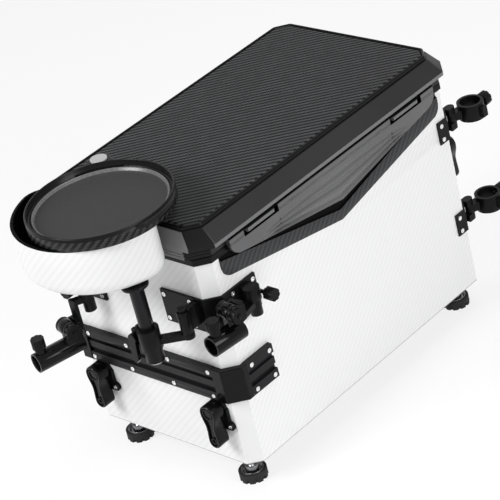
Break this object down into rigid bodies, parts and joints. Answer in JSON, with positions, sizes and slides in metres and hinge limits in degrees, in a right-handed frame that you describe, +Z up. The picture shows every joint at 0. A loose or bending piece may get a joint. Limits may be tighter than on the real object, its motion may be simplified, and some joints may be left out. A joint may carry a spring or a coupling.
{
  "type": "fishing seat box",
  "caption": "Storage box that is also a seat: hinged padded lid, side latch flaps, sliding lockable legs on swivel feet, rod rests, swinging bait bowl with tray, parasol pole rings.",
  "frame": {"origin": "on the ground, under the middle of the white body (the stand mount)", "axes": "+Z up; -Y is the front, where the bowl, the rail and the rod rests are; +X is the right side as seen from behind the front face, the longer sides run along Y"},
  "size_m": [0.3847, 0.7651, 0.4835],
  "materials": {
    "shell_white": "white twill laminate, satin gloss",
    "liner_black": "moulded, fine grain",
    "trim_black": "satin moulded",
    "seal_rubber": "soft matt",
    "weave_dark": "dark woven laminate under lacquer",
    "rail_black": "black anodised extrusion",
    "screw_steel": "bright",
    "bracket_black": "satin black",
    "lever_black": "glossy moulded",
    "leg_metal": "satin tube",
    "plate_bright": "polished",
    "foot_rubber": "matt",
    "lid_black": "glossy moulded",
    "seat_fabric": "dark ribbed cloth",
    "flap_grey": "metallic grey lacquer",
    "tray_black": "fine grain",
    "cap_grey": "light grey",
    "knob_black": "satin"
  },
  "bodies": {
    "box": {"body_shell": "shell_white", "inner_liner": "liner_black", "top_collar": "trim_black", "lid_seal": "seal_rubber", "side_apron_right": "weave_dark", "side_apron_left": "weave_dark", "front_rail": "rail_black", "side_rail_right": "rail_black", "side_rail_left": "rail_black", "rail_corners": "trim_black", "rail_screws": "screw_steel", "corner_bracket_right": "bracket_black", "corner_bracket_left": "bracket_black", "bracket_screws": "screw_steel", "rear_brackets": "bracket_black", "leg_sleeves": "liner_black", "lever_flanges": "trim_black"},
    "lever_front_right": {"lock_lever_front_right": "lever_black"},
    "lever_front_left": {"lock_lever_front_left": "lever_black"},
    "lever_rear_right": {"lock_lever_rear_right": "lever_black"},
    "lever_rear_left": {"lock_lever_rear_left": "lever_black"},
    "leg_front_right": {"leg_tube_front_right": "leg_metal"},
    "leg_front_left": {"leg_tube_front_left": "leg_metal"},
    "leg_rear_right": {"leg_tube_rear_right": "leg_metal"},
    "leg_rear_left": {"leg_tube_rear_left": "leg_metal"},
    "foot_front_right": {"foot_plate_front_right": "plate_bright", "foot_pad_front_right": "foot_rubber"},
    "foot_front_left": {"foot_plate_front_left": "plate_bright", "foot_pad_front_left": "foot_rubber"},
    "foot_rear_right": {"foot_plate_rear_right": "plate_bright", "foot_pad_rear_right": "foot_rubber"},
    "foot_rear_left": {"foot_plate_rear_left": "plate_bright", "foot_pad_rear_left": "foot_rubber"},
    "lid": {"lid_shell": "lid_black", "lid_shell_skirt": "lid_black", "lid_panel": "lid_black", "lid_bead": "lid_black", "seat_pad": "seat_fabric", "flap_pins": "screw_steel", "tray_pivot": "trim_black"},
    "flap_right": {"side_flap_right": "flap_grey"},
    "flap_left": {"side_flap_left": "flap_grey"},
    "tray": {"serving_tray": "tray_black", "tray_cap": "cap_grey"},
    "bowl_arm": {"link_arm": "bracket_black", "pole_clamp": "bracket_black"},
    "clamp_grip": {"clamp_lever": "lever_black"},
    "bowl": {"bait_bowl": "shell_white", "bowl_liner": "liner_black", "bowl_pole": "leg_metal"},
    "rod_arm_right": {"rod_arm_right": "bracket_black"},
    "arm_knob_right": {"arm_knob_right": "knob_black"},
    "rod_tube_right": {"rod_tube_right": "bracket_black"},
    "tilt_knob_right": {"tilt_knob_right": "knob_black"},
    "rod_knob_right": {"rod_knob_right": "knob_black"},
    "rod_arm_left": {"rod_arm_left": "bracket_black"},
    "arm_knob_left": {"arm_knob_left": "knob_black"},
    "rod_tube_left": {"rod_tube_left": "bracket_black"},
    "tilt_knob_left": {"tilt_knob_left": "knob_black"},
    "rod_knob_left": {"rod_knob_left": "knob_black"},
    "pole_ring_upper": {"pole_ring_upper": "bracket_black"},
    "ring_knob_upper": {"ring_knob_upper": "knob_black"},
    "pole_ring_lower": {"pole_ring_lower": "bracket_black"},
    "ring_knob_lower": {"ring_knob_lower": "knob_black"}
  },
  "joints": [
    {"name": "lever_swing_front_right", "type": "hinge", "parent": "box", "child": "lever_front_right", "pos_m": [0.117, -0.286, 0.145], "axis": [0, 1, 0], "range_deg": [0, 85]},
    {"name": "lever_swing_front_left", "type": "hinge", "parent": "box", "child": "lever_front_left", "pos_m": [-0.117, -0.286, 0.145], "axis": [0, 1, 0], "range_deg": [0, 85]},
    {"name": "lever_swing_rear_right", "type": "hinge", "parent": "box", "child": "lever_rear_right", "pos_m": [0.117, 0.286, 0.26], "axis": [0, 1, 0], "range_deg": [0, 85]},
    {"name": "lever_swing_rear_left", "type": "hinge", "parent": "box", "child": "lever_rear_left", "pos_m": [-0.117, 0.286, 0.26], "axis": [0, 1, 0], "range_deg": [0, 85]},
    {"name": "leg_slide_front_right", "type": "slide", "parent": "box", "child": "leg_front_right", "axis": [0, 0, -1], "range_m": [0, 0.15]},
    {"name": "leg_slide_front_left", "type": "slide", "parent": "box", "child": "leg_front_left", "axis": [0, 0, -1], "range_m": [0, 0.15]},
    {"name": "leg_slide_rear_right", "type": "slide", "parent": "box", "child": "leg_rear_right", "axis": [0, 0, -1], "range_m": [0, 0.15]},
    {"name": "leg_slide_rear_left", "type": "slide", "parent": "box", "child": "leg_rear_left", "axis": [0, 0, -1], "range_m": [0, 0.15]},
    {"name": "foot_tilt_front_right", "type": "hinge", "parent": "leg_front_right", "child": "foot_front_right", "pos_m": [0.117, -0.242, 0.017], "axis": [0, 1, 0], "range_deg": [-10, 10]},
    {"name": "foot_tilt_front_left", "type": "hinge", "parent": "leg_front_left", "child": "foot_front_left", "pos_m": [-0.117, -0.242, 0.017], "axis": [0, 1, 0], "range_deg": [-10, 10]},
    {"name": "foot_tilt_rear_right", "type": "hinge", "parent": "leg_rear_right", "child": "foot_rear_right", "pos_m": [0.117, 0.242, 0.017], "axis": [0, 1, 0], "range_deg": [-10, 10]},
    {"name": "foot_tilt_rear_left", "type": "hinge", "parent": "leg_rear_left", "child": "foot_rear_left", "pos_m": [-0.117, 0.242, 0.017], "axis": [0, 1, 0], "range_deg": [-10, 10]},
    {"name": "lid_hinge", "type": "hinge", "parent": "box", "child": "lid", "pos_m": [-0.17, 0, 0.404], "axis": [0, -1, 0], "range_deg": [0, 95]},
    {"name": "flap_lift_right", "type": "hinge", "parent": "lid", "child": "flap_right", "pos_m": [0.17, 0, 0.404], "axis": [0, -1, 0], "range_deg": [0, 40]},
    {"name": "flap_lift_left", "type": "hinge", "parent": "box", "child": "flap_left", "pos_m": [-0.17, 0, 0.404], "axis": [0, -1, 0], "range_deg": [-35, 0]},
    {"name": "tray_swing", "type": "hinge", "parent": "lid", "child": "tray", "pos_m": [-0.07, -0.2125, 0.4715], "axis": [0, 0, 1], "range_deg": [-10, 90]},
    {"name": "bowl_swing", "type": "hinge", "parent": "box", "child": "bowl_arm", "pos_m": [0.13, -0.3, 0.293], "axis": [0, 0, 1], "range_deg": [0, 75]},
    {"name": "clamp_turn", "type": "hinge", "parent": "bowl_arm", "child": "clamp_grip", "pos_m": [0.0672, -0.335, 0.294], "axis": [0, 1, 0], "range_deg": [0, 90]},
    {"name": "bowl_height", "type": "slide", "parent": "bowl_arm", "child": "bowl", "axis": [0, 0, 1], "range_m": [-0.03, 0]},
    {"name": "rod_arm_swing_right", "type": "hinge", "parent": "box", "child": "rod_arm_right", "pos_m": [0.178, -0.212, 0.293], "axis": [0, 0, 1], "range_deg": [0, 60]},
    {"name": "arm_knob_turn_right", "type": "hinge", "parent": "box", "child": "arm_knob_right", "pos_m": [0.184, -0.197, 0.309], "axis": [1, 0, 0], "continuous": true},
    {"name": "rod_tilt_right", "type": "hinge", "parent": "rod_arm_right", "child": "rod_tube_right", "pos_m": [0.184, -0.266, 0.319], "axis": [-0.9938, 0.1115, 0], "range_deg": [0, 60]},
    {"name": "tilt_knob_turn_right", "type": "hinge", "parent": "rod_arm_right", "child": "tilt_knob_right", "pos_m": [0.184, -0.266, 0.319], "axis": [0.9938, -0.1115, 0], "continuous": true},
    {"name": "rod_knob_turn_right", "type": "hinge", "parent": "rod_tube_right", "child": "rod_knob_right", "pos_m": [0.18066, -0.29581, 0.309], "axis": [0, 0, 1], "continuous": true},
    {"name": "rod_arm_swing_left", "type": "hinge", "parent": "box", "child": "rod_arm_left", "pos_m": [-0.08, -0.292, 0.282], "axis": [0, 0, 1], "range_deg": [0, 60]},
    {"name": "arm_knob_turn_left", "type": "hinge", "parent": "box", "child": "arm_knob_left", "pos_m": [-0.098, -0.294, 0.306], "axis": [0, -1, 0], "continuous": true},
    {"name": "rod_tilt_left", "type": "hinge", "parent": "rod_arm_left", "child": "rod_tube_left", "pos_m": [-0.097, -0.329, 0.256], "axis": [-0.969, 0.247, 0], "range_deg": [0, 60]},
    {"name": "tilt_knob_turn_left", "type": "hinge", "parent": "rod_arm_left", "child": "tilt_knob_left", "pos_m": [-0.097, -0.329, 0.256], "axis": [0.969, -0.247, 0], "continuous": true},
    {"name": "rod_knob_turn_left", "type": "hinge", "parent": "rod_tube_left", "child": "rod_knob_left", "pos_m": [-0.11624, -0.37208, 0.246], "axis": [0, 0, 1], "continuous": true},
    {"name": "ring_swing_upper", "type": "hinge", "parent": "box", "child": "pole_ring_upper", "pos_m": [0.146, 0.282, 0.318], "axis": [0, 0, 1], "range_deg": [-60, 30]},
    {"name": "ring_knob_turn_upper", "type": "hinge", "parent": "pole_ring_upper", "child": "ring_knob_upper", "pos_m": [0.159, 0.344, 0.318], "axis": [0, 1, 0], "continuous": true},
    {"name": "ring_swing_lower", "type": "hinge", "parent": "box", "child": "pole_ring_lower", "pos_m": [0.146, 0.282, 0.158], "axis": [0, 0, 1], "range_deg": [-60, 30]},
    {"name": "ring_knob_turn_lower", "type": "hinge", "parent": "pole_ring_lower", "child": "ring_knob_lower", "pos_m": [0.159, 0.344, 0.158], "axis": [0, 1, 0], "continuous": true}
  ]
}
